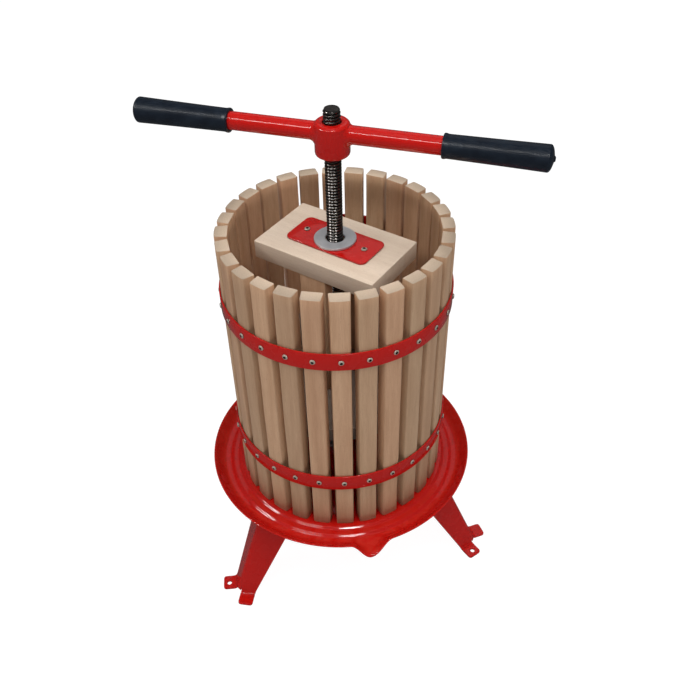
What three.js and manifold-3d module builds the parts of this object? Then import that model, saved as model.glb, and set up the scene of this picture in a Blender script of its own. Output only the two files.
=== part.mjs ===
// Basket wine press: a slatted beech basket standing in a pressed steel tray on three folded legs,
// with a fixed trapezoidal spindle, a stack of press wood around it and a two-armed turning handle.
// Millimetres, +Z up. The floor is z = 0 and the spout points along -Y.

import * as THREE from 'three';
import { mergeVertices } from 'three/addons/utils/BufferGeometryUtils.js';
import Module from 'manifold-3d';

const wasm = await Module();
wasm.setup();

// ---------------------------------------------------------------- driving dimensions

// Two faces that rest on each other stay this far apart.
const GAP = 0.3;

// The spindle stands this far in front of the middle of the footprint, which is the origin.
const AXIS_FORWARD = 15;

const SPINDLE_RADIUS = 10;
const SPINDLE_FOOT = 132;
const SPINDLE_TOP = 711;
const ANCHOR_PLATE = { radius: 45, thickness: 6 };
const SPINDLE_NUT = { acrossFlats: 30, upperHeight: 10, lowerHeight: 16 };

const TRAY_FLOOR = 162.2;
const TRAY_SHEET = 2;
const TRAY_RIM_RADIUS = 192;
const TRAY_RIM_HEIGHT = 170.5;
// Two steps lead down from the floor to the trough: radii where each starts and ends, and its drop.
const TRAY_STEPS = [{ start: 151.6, end: 156.7, drop: 2.6 }, { start: 162.8, end: 168.2, drop: 2.8 }];
const FLANGE_START = 172;
const FLANGE_END = TRAY_RIM_RADIUS - 0.8 * TRAY_SHEET;
const FLANGE_SWEEP = 0.62 * Math.PI;
// The spout pulls the flange out and down, most of all a little to the left of its middle.
const SPOUT_START = 166;
const SPOUT_REACH = 9;
const SPOUT_DROP = 16.8;
const SPOUT_HALF_ANGLE = 9;
const SPOUT_TIP_ANGLE = -1.2;

const LEG_SHEET = 3;
const LEG_FOOT_RADIUS = 223;
const LEG_LEAN = 0.461;
const LEG_FOOT_HALF_WIDTH = 22;
const LEG_WIDENING = 0.145;
const LEG_FOLD_SLOPE = 0.778;
const LEG_TAB_LENGTH = 19.5;
const LEG_TAB_START = 6.5;
const LEG_TAB_CORNER = 4;
const LEG_FLANGE_DEPTH = 12;
const FOOT_HOLE = 3.5;
const FOLD_RELIEF = 5;
const LEG_BOLT_RADIUS = 118.5;
const LEG_BOLT_END = 143;
const LEG_BOLT_SHANK = 4;
const LEG_BOLT_HOLE = 4.4;
const LEG_NUT = { acrossFlats: 13, height: 6.8 };
const LEG_AZIMUTHS = { leg_front_left: -150, leg_front_right: -30, leg_rear: 90 };

const STAVE_COUNT = 28;
const STAVE_BOTTOM = TRAY_FLOOR + GAP;
const STAVE_LENGTH = 395;
const STAVE_OUTER_RADIUS = 147.2;
const STAVE_THICKNESS = 16.5;
const STAVE_OUTER_WIDTH = 23.2;
const STAVE_INNER_WIDTH = 25.2;
const STAVE_CROWN = 0.6;
const FIRST_STAVE_AZIMUTH = -87.8;

const BAND_HEIGHT = 25;
const BAND_THICKNESS = 2;
const BAND_CENTRES = { band_lower: 252, band_upper: 468.8 };

const WOOD_BORE = 13;
const BLOCK_TURN = -46.6;
const BLOCK_LENGTH = 172.5;
const BLOCK_WIDTH = 104.5;
const BLOCK_HEIGHT = 24;
const BLOCK_TOP = 536;
const BLOCK_EASE = 1.2;
const WEAR_PLATE = { length: 116, width: 54, thickness: 2.7, corner: 8.5 };
const WASHER = { outer: 26.25, bore: 12.15, thickness: 3 };
const PLATE_SCREW_SPACING = 84.5;
const PLATE_SCREW_SHANK = 1.8;
const PLATE_SCREW_HOLE = 2.1;
const POST = { width: 38, depth: 16, height: 179.4, setback: 0.75 };
const BOARD = { radius: 127.5, thickness: 20, notch: 19, split: 2 };

const HANDLE_TURN = -29;
const HUB_RADIUS = 20.5;
const HUB_BOTTOM = 655.5;
const HUB_TOP = 695.7;
const BUSH_RADIUS = 14.5;
const BUSH_TOP = 689;
const ARM_HEIGHT = 682;
const ARM_RADIUS = 10.65;
const ARM_BORE = 8.3;
const ARM_END = 241;
// The left arm and its grip reach out this much less than the right ones.
const LEFT_ARM_SHORTER = 4;
const GRIP_START = 126;
const GRIP_END = 247;

const ROUND_SIDES = 24;

// ---------------------------------------------------------------- finishes

const redPaint = new THREE.MeshStandardMaterial({ color: 0xb8161a, roughness: 0.3, metalness: 0.1 });
const beech = new THREE.MeshStandardMaterial({ color: 0xc9a985, roughness: 0.65, metalness: 0 });
const darkSteel = new THREE.MeshStandardMaterial({ color: 0x5a5650, roughness: 0.4, metalness: 0.9 });
const zinc = new THREE.MeshStandardMaterial({ color: 0x9aa0a3, roughness: 0.45, metalness: 0.8 });
const rubber = new THREE.MeshStandardMaterial({ color: 0x1d2125, roughness: 0.7, metalness: 0 });

// ---------------------------------------------------------------- solids

function radians(degrees) {
  return THREE.MathUtils.degToRad(degrees);
}

// A closed three.js geometry as a solid: shared vertices merged and collapsed triangles left out.
function solid(geometry) {
  const bare = geometry.index ? geometry.toNonIndexed() : geometry.clone();
  bare.deleteAttribute('normal');
  bare.deleteAttribute('uv');
  const merged = mergeVertices(bare, 1e-4);
  const corners = merged.index.array;
  const kept = [];
  for (let i = 0; i < corners.length; i += 3) {
    const [a, b, c] = corners.slice(i, i + 3);
    if (a !== b && b !== c && c !== a) kept.push(a, b, c);
  }
  const shell = new wasm.Mesh({
    numProp: 3,
    vertProperties: new Float32Array(merged.attributes.position.array),
    triVerts: new Uint32Array(kept),
  });
  return new wasm.Manifold(shell);
}

function geometryOf(body) {
  const shell = body.getMesh();
  const geometry = new THREE.BufferGeometry();
  geometry.setAttribute('position', new THREE.BufferAttribute(shell.vertProperties, 3));
  geometry.setIndex(new THREE.BufferAttribute(shell.triVerts, 1));
  geometry.computeVertexNormals();
  return geometry;
}

function part(name, body, material) {
  const mesh = new THREE.Mesh(geometryOf(body), material);
  mesh.name = name;
  return mesh;
}

// A flat outline raised from z = bottom to z = top.
function slab(shape, bottom, top) {
  const geometry = new THREE.ExtrudeGeometry(shape, {
    depth: top - bottom,
    bevelEnabled: false,
    curveSegments: ROUND_SIDES / 2,
  });
  return solid(geometry.translate(0, 0, bottom));
}

function polygon(points) {
  return new THREE.Shape(points.map(([x, y]) => new THREE.Vector2(x, y)));
}

function disc(radius) {
  return new THREE.Shape().absarc(0, 0, radius, 0, 2 * Math.PI, false);
}

function rod(radius, bottom, top, x = 0, y = 0) {
  return slab(disc(radius), bottom, top).translate([x, y, 0]);
}

// A [radius, height] profile spun about the Z axis; it starts and ends on the axis or on itself.
function spun(profile, sides = ROUND_SIDES) {
  const points = profile.map(([radius, height]) => new THREE.Vector2(radius, height));
  return solid(new THREE.LatheGeometry(points, sides).rotateX(Math.PI / 2));
}

function closed(profile) {
  return [...profile, profile[0]];
}

function roundedRectangle(length, width, corner) {
  const x = length / 2;
  const y = width / 2;
  const shape = new THREE.Shape();
  shape.absarc(x - corner, y - corner, corner, 0, Math.PI / 2, false);
  shape.absarc(corner - x, y - corner, corner, Math.PI / 2, Math.PI, false);
  shape.absarc(corner - x, corner - y, corner, Math.PI, 1.5 * Math.PI, false);
  shape.absarc(x - corner, corner - y, corner, 1.5 * Math.PI, 2 * Math.PI, false);
  return shape;
}

function hexagon(acrossFlats) {
  const reach = acrossFlats / Math.sqrt(3);
  const corners = [];
  for (let i = 0; i < 6; i += 1) {
    const angle = (i * Math.PI) / 3;
    corners.push([reach * Math.cos(angle), reach * Math.sin(angle)]);
  }
  return polygon(corners);
}

function nut(acrossFlats, bore, bottom, top) {
  return slab(hexagon(acrossFlats), bottom, top).subtract(rod(bore, bottom - 1, top + 1));
}

// A body with flat ends whose section changes evenly from the lower outline to the upper one.
function loft(lower, bottom, upper, top) {
  const count = lower.length;
  const positions = [];
  for (const [x, y] of lower) positions.push(x, y, bottom);
  for (const [x, y] of upper) positions.push(x, y, top);
  const faces = [];
  for (let i = 0; i < count; i += 1) {
    const next = (i + 1) % count;
    faces.push(i, next, count + next);
    faces.push(i, count + next, count + i);
  }
  const outline = lower.map(([x, y]) => new THREE.Vector2(x, y));
  for (const [a, b, c] of THREE.ShapeUtils.triangulateShape(outline, [])) {
    faces.push(c, b, a);
    faces.push(count + a, count + b, count + c);
  }
  const geometry = new THREE.BufferGeometry();
  geometry.setAttribute('position', new THREE.Float32BufferAttribute(positions, 3));
  geometry.setIndex(faces);
  return solid(geometry);
}

// ---------------------------------------------------------------- tray

// Height of the pressed sheet's upper face: floor, two steps, trough and a flange that sweeps up.
function trayHeight(radius) {
  let height = TRAY_FLOOR;
  let trough = TRAY_FLOOR;
  for (const { start, end, drop } of TRAY_STEPS) {
    height -= drop * THREE.MathUtils.smoothstep(radius, start, end);
    trough -= drop;
  }
  const share = THREE.MathUtils.clamp((radius - FLANGE_START) / (FLANGE_END - FLANGE_START), 0, 1);
  const sweep = (1 - Math.cos(FLANGE_SWEEP * share)) / (1 - Math.cos(FLANGE_SWEEP));
  return height + (TRAY_RIM_HEIGHT - trough) * sweep;
}

// The sheet's direction at a radius, averaged over its thickness so that tight bends stay even.
function trayDirection(radius) {
  const reach = 1.5 * TRAY_SHEET;
  const past = Math.min(radius + reach, FLANGE_END);
  const direction = new THREE.Vector2(past - radius + reach, trayHeight(past) - trayHeight(radius - reach));
  return direction.normalize();
}

function between(start, end, steps) {
  return Array.from({ length: steps + 1 }, (_, i) => start + ((end - start) * i) / steps);
}

// Section of the sheet from the spindle hole out over the steps to the rim and back underneath.
function traySection() {
  const [inner, outer] = TRAY_STEPS;
  const radii = [
    SPINDLE_RADIUS + 2 * GAP,
    ...between(inner.start, inner.end, 4),
    ...between(outer.start, outer.end, 4),
    ...between(FLANGE_START, FLANGE_END, 6),
  ];
  const top = radii.map((radius) => [radius, trayHeight(radius)]);
  const under = radii.map((radius) => {
    const direction = trayDirection(radius);
    return [radius + TRAY_SHEET * direction.y, trayHeight(radius) - TRAY_SHEET * direction.x];
  });
  under[0][0] = radii[0];
  const edge = trayDirection(FLANGE_END);
  const half = TRAY_SHEET / 2;
  const edgeTip = [FLANGE_END + half * (edge.y + edge.x), TRAY_RIM_HEIGHT + half * (edge.y - edge.x)];
  return [...top, edgeTip, ...under.reverse()];
}

// How strongly the spout pulls the flange at an angle from the spout's middle, 0 to 1.
function spoutPull(degrees) {
  const fromTip = degrees - SPOUT_TIP_ANGLE;
  const side = SPOUT_HALF_ANGLE - Math.sign(fromTip) * SPOUT_TIP_ANGLE;
  const share = Math.min(Math.abs(fromTip) / side, 1);
  return 0.5 + 0.5 * Math.cos(share * Math.PI);
}

function trayAngles() {
  const spoutSteps = 16;
  const otherSteps = 48;
  const angles = [];
  for (let i = 0; i < spoutSteps; i += 1) {
    angles.push(-SPOUT_HALF_ANGLE + (2 * SPOUT_HALF_ANGLE * i) / spoutSteps);
  }
  for (let i = 0; i < otherSteps; i += 1) {
    angles.push(SPOUT_HALF_ANGLE + ((360 - 2 * SPOUT_HALF_ANGLE) * i) / otherSteps);
  }
  return angles;
}

function traySolid() {
  const section = traySection();
  const angles = trayAngles();
  const positions = [];
  for (const angle of angles) {
    const pull = spoutPull(angle > 180 ? angle - 360 : angle);
    const turn = radians(angle - 90);
    for (const [radius, height] of section) {
      const share = THREE.MathUtils.clamp((radius - SPOUT_START) / (TRAY_RIM_RADIUS - SPOUT_START), 0, 1);
      const reach = radius + SPOUT_REACH * pull * share;
      const drop = SPOUT_DROP * pull * share ** 2;
      positions.push(reach * Math.cos(turn), reach * Math.sin(turn), height - drop);
    }
  }
  const faces = [];
  for (let i = 0; i < angles.length; i += 1) {
    const here = i * section.length;
    const ahead = ((i + 1) % angles.length) * section.length;
    for (let j = 0; j < section.length; j += 1) {
      const k = (j + 1) % section.length;
      faces.push(here + j, here + k, ahead + k);
      faces.push(here + j, ahead + k, ahead + j);
    }
  }
  const geometry = new THREE.BufferGeometry();
  geometry.setAttribute('position', new THREE.Float32BufferAttribute(positions, 3));
  geometry.setIndex(faces);
  let body = solid(geometry);
  for (const azimuth of Object.values(LEG_AZIMUTHS)) {
    const x = LEG_BOLT_RADIUS * Math.cos(radians(azimuth));
    const y = LEG_BOLT_RADIUS * Math.sin(radians(azimuth));
    body = body.subtract(rod(LEG_BOLT_HOLE, TRAY_FLOOR - 10, TRAY_FLOOR + 10, x, y));
  }
  return body;
}

// ---------------------------------------------------------------- legs

// Outline of the folded leg at a height: the ridge points outwards along +X.
function legSection(height) {
  const ridge = LEG_FOOT_RADIUS - LEG_LEAN * height;
  const halfWidth = LEG_FOOT_HALF_WIDTH + LEG_WIDENING * height;
  const fold = Math.hypot(1, LEG_FOLD_SLOPE);
  const across = [1 / fold, LEG_FOLD_SLOPE / fold];
  const wall = LEG_SHEET * Math.hypot(1, LEG_LEAN / fold);
  const edge = [ridge - LEG_FOLD_SLOPE * halfWidth, halfWidth];
  return [
    [ridge, 0],
    [edge[0], edge[1]],
    [edge[0] - across[0] * wall, edge[1] - across[1] * wall],
    [ridge - wall / across[0], 0],
    [edge[0] - across[0] * wall, across[1] * wall - edge[1]],
    [edge[0], -edge[1]],
  ];
}

// Flat foot tab folded outwards from one side of the leg; side is 1 or -1.
function footTab(side) {
  const fold = Math.hypot(1, LEG_FOLD_SLOPE);
  const out = [1 / fold, (side * LEG_FOLD_SLOPE) / fold];
  const along = [-LEG_FOLD_SLOPE / fold, side / fold];
  const start = LEG_TAB_START;
  const end = LEG_FOOT_HALF_WIDTH * fold;
  const corner = LEG_TAB_CORNER;
  const at = (run, reach) => [
    LEG_FOOT_RADIUS + along[0] * run + out[0] * reach,
    along[1] * run + out[1] * reach,
  ];
  const outline = [
    at(start, -1.5),
    at(start, LEG_TAB_LENGTH - corner),
    at(start + 0.3 * corner, LEG_TAB_LENGTH - 0.3 * corner),
    at(start + corner, LEG_TAB_LENGTH),
    at(end - corner, LEG_TAB_LENGTH),
    at(end - 0.3 * corner, LEG_TAB_LENGTH - 0.3 * corner),
    at(end, LEG_TAB_LENGTH - corner),
    at(end, -1.5),
  ];
  return {
    body: slab(polygon(side > 0 ? outline : outline.reverse()), 0, LEG_SHEET),
    centre: at((start + end) / 2, LEG_TAB_LENGTH / 2),
  };
}

function legSolid() {
  const flangeTop = TRAY_FLOOR - TRAY_SHEET - GAP;
  const flangeBottom = flangeTop - LEG_SHEET;
  const wallTop = flangeTop - LEG_SHEET / 2;
  const rimPoints = legSection(flangeBottom);
  const inner = rimPoints[1][0] - LEG_FLANGE_DEPTH;
  const flange = slab(
    polygon([
      rimPoints[0],
      rimPoints[1],
      [inner, rimPoints[1][1]],
      [inner, rimPoints[5][1]],
      rimPoints[5],
    ]),
    flangeBottom,
    flangeTop,
  );
  const walls = loft(legSection(0), 0, legSection(wallTop), wallTop);
  const plainTab = footTab(1);
  const holedTab = footTab(-1);
  const footHole = rod(FOOT_HOLE, -1, LEG_SHEET + 1, holedTab.centre[0], holedTab.centre[1]);
  const foldRelief = rod(FOLD_RELIEF, -1, 2 * LEG_SHEET, LEG_FOOT_RADIUS + 2, 0);
  const boltHole = rod(LEG_BOLT_HOLE, flangeBottom - 1, flangeTop + 1, LEG_BOLT_RADIUS, 0);
  return walls.add(flange).add(plainTab.body).add(holedTab.body)
    .subtract(footHole).subtract(foldRelief).subtract(boltHole);
}

function legBolt() {
  const seat = TRAY_FLOOR + GAP;
  return spun([
    [0, LEG_BOLT_END],
    [LEG_BOLT_SHANK - 1, LEG_BOLT_END],
    [LEG_BOLT_SHANK, LEG_BOLT_END + 1],
    [LEG_BOLT_SHANK, seat],
    [10, seat],
    [9.6, seat + 1.6],
    [7.4, seat + 3.2],
    [4, seat + 4],
    [0, seat + 4.2],
  ], 16);
}

function legs() {
  const group = new THREE.Group();
  const flangeBottom = TRAY_FLOOR - TRAY_SHEET - GAP - LEG_SHEET;
  for (const [name, azimuth] of Object.entries(LEG_AZIMUTHS)) {
    const leg = new THREE.Group();
    leg.rotation.z = radians(azimuth);
    const bolt = part(`${name}_bolt`, legBolt(), zinc);
    bolt.position.x = LEG_BOLT_RADIUS;
    const seat = flangeBottom - GAP;
    const bodyNut = nut(LEG_NUT.acrossFlats, LEG_BOLT_HOLE, seat - LEG_NUT.height, seat);
    const boltNut = part(`${name}_nut`, bodyNut, zinc);
    boltNut.position.x = LEG_BOLT_RADIUS;
    leg.add(part(name, legSolid(), redPaint), bolt, boltNut);
    group.add(leg);
  }
  return group;
}

// ---------------------------------------------------------------- spindle and its anchorage

function anchorage() {
  const group = new THREE.Group();
  const bore = SPINDLE_RADIUS + 2 * GAP;
  const plateTop = TRAY_FLOOR - TRAY_SHEET - GAP;
  const plateBottom = plateTop - ANCHOR_PLATE.thickness;
  const chamfer = 1.8;
  const spindle = spun([
    [0, SPINDLE_FOOT],
    [SPINDLE_RADIUS - chamfer, SPINDLE_FOOT],
    [SPINDLE_RADIUS, SPINDLE_FOOT + chamfer],
    [SPINDLE_RADIUS, SPINDLE_TOP - chamfer],
    [SPINDLE_RADIUS - chamfer, SPINDLE_TOP],
    [0, SPINDLE_TOP],
  ]);
  const plate = rod(ANCHOR_PLATE.radius, plateBottom, plateTop)
    .subtract(rod(bore, plateBottom - 1, plateTop + 1));
  const { acrossFlats, upperHeight, lowerHeight } = SPINDLE_NUT;
  const upperSeat = TRAY_FLOOR + GAP;
  const lowerSeat = plateBottom - GAP;
  const upperNut = nut(acrossFlats, bore, upperSeat, upperSeat + upperHeight);
  const lowerNut = nut(acrossFlats, bore, lowerSeat - lowerHeight, lowerSeat);
  group.add(part('spindle', spindle, darkSteel));
  group.add(part('anchor_plate', plate, zinc));
  group.add(part('spindle_nut_upper', upperNut, zinc));
  group.add(part('spindle_nut_lower', lowerNut, zinc));
  return group;
}

// ---------------------------------------------------------------- basket

function staveSolid() {
  const outer = STAVE_OUTER_RADIUS;
  const inner = outer - STAVE_THICKNESS;
  const crownHalf = STAVE_OUTER_WIDTH / 6;
  return slab(
    polygon([
      [inner, -STAVE_INNER_WIDTH / 2],
      [outer - STAVE_CROWN, -STAVE_OUTER_WIDTH / 2],
      [outer, -crownHalf],
      [outer, crownHalf],
      [outer - STAVE_CROWN, STAVE_OUTER_WIDTH / 2],
      [inner, STAVE_INNER_WIDTH / 2],
    ]),
    STAVE_BOTTOM,
    STAVE_BOTTOM + STAVE_LENGTH,
  );
}

function bandSolid(centre) {
  const inner = STAVE_OUTER_RADIUS + GAP + 0.1;
  const outer = inner + BAND_THICKNESS;
  const low = centre - BAND_HEIGHT / 2;
  const high = centre + BAND_HEIGHT / 2;
  return spun(closed([[inner, low], [outer, low], [outer, high], [inner, high]]), 3 * STAVE_COUNT);
}

function basket() {
  const group = new THREE.Group();
  for (let i = 0; i < STAVE_COUNT; i += 1) {
    const stave = part(`stave_${String(i + 1).padStart(2, '0')}`, staveSolid(), beech);
    stave.rotation.z = radians(FIRST_STAVE_AZIMUTH + (360 * i) / STAVE_COUNT);
    group.add(stave);
  }
  for (const [name, centre] of Object.entries(BAND_CENTRES)) {
    group.add(part(name, bandSolid(centre), redPaint));
  }
  return group;
}

// ---------------------------------------------------------------- press wood and wear plate

function pressBlock() {
  const bottom = BLOCK_TOP - BLOCK_HEIGHT;
  const flat = polygon([
    [-BLOCK_LENGTH / 2 + BLOCK_EASE, -BLOCK_WIDTH / 2 + BLOCK_EASE],
    [BLOCK_LENGTH / 2 - BLOCK_EASE, -BLOCK_WIDTH / 2 + BLOCK_EASE],
    [BLOCK_LENGTH / 2 - BLOCK_EASE, BLOCK_WIDTH / 2 - BLOCK_EASE],
    [-BLOCK_LENGTH / 2 + BLOCK_EASE, BLOCK_WIDTH / 2 - BLOCK_EASE],
  ]);
  const geometry = new THREE.ExtrudeGeometry(flat, {
    depth: BLOCK_HEIGHT - 2 * BLOCK_EASE,
    bevelThickness: BLOCK_EASE,
    bevelSize: BLOCK_EASE,
    bevelSegments: 1,
  });
  let body = solid(geometry.translate(0, 0, bottom + BLOCK_EASE));
  body = body.subtract(rod(WOOD_BORE, bottom - 1, BLOCK_TOP + 1));
  for (const side of [-1, 1]) {
    const x = (side * PLATE_SCREW_SPACING) / 2;
    body = body.subtract(rod(PLATE_SCREW_HOLE, BLOCK_TOP - 16, BLOCK_TOP + 1, x));
  }
  return body;
}

function wearPlate(bottom, top) {
  let body = slab(roundedRectangle(WEAR_PLATE.length, WEAR_PLATE.width, WEAR_PLATE.corner), bottom, top);
  body = body.subtract(rod(WOOD_BORE, bottom - 1, top + 1));
  for (const side of [-1, 1]) {
    body = body.subtract(rod(PLATE_SCREW_HOLE, bottom - 1, top + 1, (side * PLATE_SCREW_SPACING) / 2));
  }
  return body;
}

function plateScrew(seat) {
  return spun([
    [0, seat - 15],
    [PLATE_SCREW_SHANK, seat - 12],
    [PLATE_SCREW_SHANK, seat],
    [3.8, seat],
    [3.6, seat + 1.3],
    [2.4, seat + 2.1],
    [0, seat + 2.3],
  ], 16);
}

// Upright spacer on one half-moon board; side is -1 at the front and 1 at the back.
function postSolid(side, bottom) {
  const ease = 1;
  const x = POST.width / 2;
  const outer = BLOCK_WIDTH / 2 - POST.setback;
  const middle = outer - POST.depth / 2;
  const y = POST.depth / 2;
  const outline = polygon([
    [-x + ease, -y],
    [x - ease, -y],
    [x, -y + ease],
    [x, y - ease],
    [x - ease, y],
    [-x + ease, y],
    [-x, y - ease],
    [-x, -y + ease],
  ]);
  return slab(outline, bottom, bottom + POST.height).translate([0, side * middle, 0]);
}

// Half-moon board on the +Y side, notched in the middle to pass the spindle and its nut.
function boardSolid(bottom) {
  const halfSplit = BOARD.split / 2;
  const outerStart = Math.asin(halfSplit / BOARD.radius);
  const notchStart = Math.asin(halfSplit / BOARD.notch);
  const shape = new THREE.Shape();
  shape.absarc(0, 0, BOARD.radius, outerStart, Math.PI - outerStart, false);
  shape.absarc(0, 0, BOARD.notch, Math.PI - notchStart, notchStart, true);
  return slab(shape, bottom, bottom + BOARD.thickness);
}

function pressStack() {
  const group = new THREE.Group();
  group.rotation.z = radians(BLOCK_TURN);
  const plateBottom = BLOCK_TOP + GAP;
  const plateTop = plateBottom + WEAR_PLATE.thickness;
  const washerBottom = plateTop + GAP;
  const washerTop = washerBottom + WASHER.thickness;
  const washer = rod(WASHER.outer, washerBottom, washerTop)
    .subtract(rod(WASHER.bore, washerBottom - 1, washerTop + 1));
  const postBottom = BLOCK_TOP - BLOCK_HEIGHT - GAP - POST.height;
  const boardBottom = postBottom - GAP - BOARD.thickness;
  group.add(part('press_block', pressBlock(), beech));
  group.add(part('wear_plate', wearPlate(plateBottom, plateTop), redPaint));
  group.add(part('thrust_washer', washer, zinc));
  const screws = { plate_screw_left: -1, plate_screw_right: 1 };
  for (const [name, side] of Object.entries(screws)) {
    const screw = part(name, plateScrew(plateTop + GAP), zinc);
    screw.position.x = (side * PLATE_SCREW_SPACING) / 2;
    group.add(screw);
  }
  group.add(part('spacer_front', postSolid(-1, postBottom), beech));
  group.add(part('spacer_rear', postSolid(1, postBottom), beech));
  const front = part('half_moon_front', boardSolid(boardBottom), beech);
  front.rotation.z = Math.PI;
  group.add(front, part('half_moon_rear', boardSolid(boardBottom), beech));
  return group;
}

// ---------------------------------------------------------------- handle

function hubSolid() {
  const chamfer = 2.5;
  const bush = BUSH_RADIUS + GAP;
  const lip = SPINDLE_RADIUS + 0.8;
  const bushTop = BUSH_TOP + GAP;
  return spun(closed([
    [bush, HUB_BOTTOM],
    [HUB_RADIUS - 3, HUB_BOTTOM],
    [HUB_RADIUS - 0.8, HUB_BOTTOM + 0.9],
    [HUB_RADIUS, HUB_BOTTOM + 3],
    [HUB_RADIUS, HUB_TOP - chamfer],
    [HUB_RADIUS - chamfer, HUB_TOP],
    [lip, HUB_TOP],
    [lip, bushTop],
    [bush, bushTop],
  ]), 32);
}

function threadedBush() {
  const bore = SPINDLE_RADIUS + GAP;
  const bottom = HUB_BOTTOM + 1;
  return spun(closed([[bore, bottom], [BUSH_RADIUS, bottom], [BUSH_RADIUS, BUSH_TOP], [bore, BUSH_TOP]]));
}

// Solids made along the Z axis are laid along +X at the height of the arms.
function layAlongX(body) {
  return body.rotate([0, 90, 0]).translate([0, 0, ARM_HEIGHT]);
}

function armSolid(end) {
  const start = HUB_RADIUS - 3;
  const tube = layAlongX(spun(closed([
    [ARM_BORE, start],
    [ARM_RADIUS, start],
    [ARM_RADIUS, end],
    [ARM_BORE, end],
  ])));
  return tube.subtract(rod(HUB_RADIUS + GAP, HUB_BOTTOM, HUB_TOP));
}

function gripSolid() {
  const bore = ARM_RADIUS + GAP;
  return layAlongX(spun([
    [0, ARM_END + GAP],
    [bore, ARM_END + GAP],
    [bore, GRIP_START],
    [13.4, GRIP_START],
    [14.1, GRIP_START + 1],
    [14.1, GRIP_START + 4.5],
    [13.5, GRIP_START + 5.5],
    [15, GRIP_END - 6],
    [14.2, GRIP_END - 3],
    [12, GRIP_END - 1.2],
    [3.5, GRIP_END - 1.2],
    [2.8, GRIP_END],
    [0, GRIP_END],
  ]));
}

function handle() {
  const group = new THREE.Group();
  group.rotation.z = radians(HANDLE_TURN);
  group.add(part('handle_hub', hubSolid(), redPaint));
  group.add(part('threaded_bush', threadedBush(), zinc));
  const sides = {
    right: { turn: 0, shorter: 0 },
    left: { turn: Math.PI, shorter: LEFT_ARM_SHORTER },
  };
  for (const [side, { turn, shorter }] of Object.entries(sides)) {
    const half = new THREE.Group();
    half.rotation.z = turn;
    half.add(part(`handle_arm_${side}`, armSolid(ARM_END - shorter), redPaint));
    const grip = part(`handle_grip_${side}`, gripSolid(), rubber);
    grip.position.x = -shorter;
    half.add(grip);
    group.add(half);
  }
  return group;
}

// ---------------------------------------------------------------- assembly

const press = new THREE.Group();
press.position.y = -AXIS_FORWARD;
press.add(part('tray', traySolid(), redPaint));
press.add(legs(), anchorage(), basket(), pressStack(), handle());

export default press;
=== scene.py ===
"""Looks for the basket wine press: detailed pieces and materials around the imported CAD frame.

Everything is in metres, in the CAD model's own frame: +Z up, the spout towards -Y.
"""

import math
import random

import bmesh
import bpy
from mathutils import Matrix, Vector, noise


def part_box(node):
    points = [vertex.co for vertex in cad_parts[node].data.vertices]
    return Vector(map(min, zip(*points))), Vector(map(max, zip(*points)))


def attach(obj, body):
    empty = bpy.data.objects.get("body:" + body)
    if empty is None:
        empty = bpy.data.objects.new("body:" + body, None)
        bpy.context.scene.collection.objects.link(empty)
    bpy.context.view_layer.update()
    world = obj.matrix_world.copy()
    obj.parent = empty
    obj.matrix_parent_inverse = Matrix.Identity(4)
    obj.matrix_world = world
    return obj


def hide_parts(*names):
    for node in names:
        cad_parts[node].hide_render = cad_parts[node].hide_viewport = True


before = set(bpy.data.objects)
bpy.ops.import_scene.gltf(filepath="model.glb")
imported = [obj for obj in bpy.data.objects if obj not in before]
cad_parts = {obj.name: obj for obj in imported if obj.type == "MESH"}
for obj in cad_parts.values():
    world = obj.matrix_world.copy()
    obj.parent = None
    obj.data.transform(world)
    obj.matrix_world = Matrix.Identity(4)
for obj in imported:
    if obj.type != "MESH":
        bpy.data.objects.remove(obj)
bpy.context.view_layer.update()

# ------------------------------------------------------------------ driving places and sizes

MM = 0.001
TURN = 2 * math.pi

spindle_low, spindle_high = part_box("spindle")
AXIS = Vector(((spindle_low.x + spindle_high.x) / 2, (spindle_low.y + spindle_high.y) / 2, 0))
UPRIGHT = Matrix.Translation(AXIS)

STAVE_COUNT = 28
FIRST_STAVE = math.radians(-87.8)
BLOCK_TURN = math.radians(-46.6)
HANDLE_TURN = math.radians(-29)
LEGS = {"leg_front_left": -150, "leg_front_right": -30, "leg_rear": 90}


def turned(angle):
    """The frame of a group that is turned about the spindle."""
    return Matrix.Translation(AXIS) @ Matrix.Rotation(angle, 4, "Z")


# ------------------------------------------------------------------ camera

CAMERA_BACK = 0.8642
CAMERA_HEIGHT = 1.1215
CAMERA_AZIMUTH = math.radians(-11.76)
CAMERA_PITCH = math.radians(41.53)
CAMERA_YAW = math.radians(1.06)
CAMERA_ROLL = math.radians(-0.95)
CAMERA_LENS = 43.09


def make_camera():
    """Camera above and in front of the press, slightly to its left and rolled by a degree."""
    heading = CAMERA_YAW - CAMERA_AZIMUTH
    forward = Vector((
        math.sin(heading) * math.cos(CAMERA_PITCH),
        math.cos(heading) * math.cos(CAMERA_PITCH),
        -math.sin(CAMERA_PITCH),
    ))
    level = forward.cross(Vector((0, 0, 1))).normalized()
    above = level.cross(forward)
    right = math.cos(CAMERA_ROLL) * level + math.sin(CAMERA_ROLL) * above
    up = math.cos(CAMERA_ROLL) * above - math.sin(CAMERA_ROLL) * level
    turn = Matrix((right, up, -forward)).transposed().to_4x4()
    place = AXIS + Vector((
        CAMERA_BACK * math.sin(CAMERA_AZIMUTH),
        -CAMERA_BACK * math.cos(CAMERA_AZIMUTH),
        CAMERA_HEIGHT,
    ))
    data = bpy.data.cameras.new("camera")
    data.lens = CAMERA_LENS
    data.sensor_width = 36
    data.clip_end = 50
    camera = bpy.data.objects.new("camera", data)
    camera.matrix_world = Matrix.Translation(place) @ turn
    bpy.context.scene.collection.objects.link(camera)
    bpy.context.scene.camera = camera


make_camera()


# ------------------------------------------------------------------ mesh tools

CRISP = 35
EASED_CRISP = 50


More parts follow.
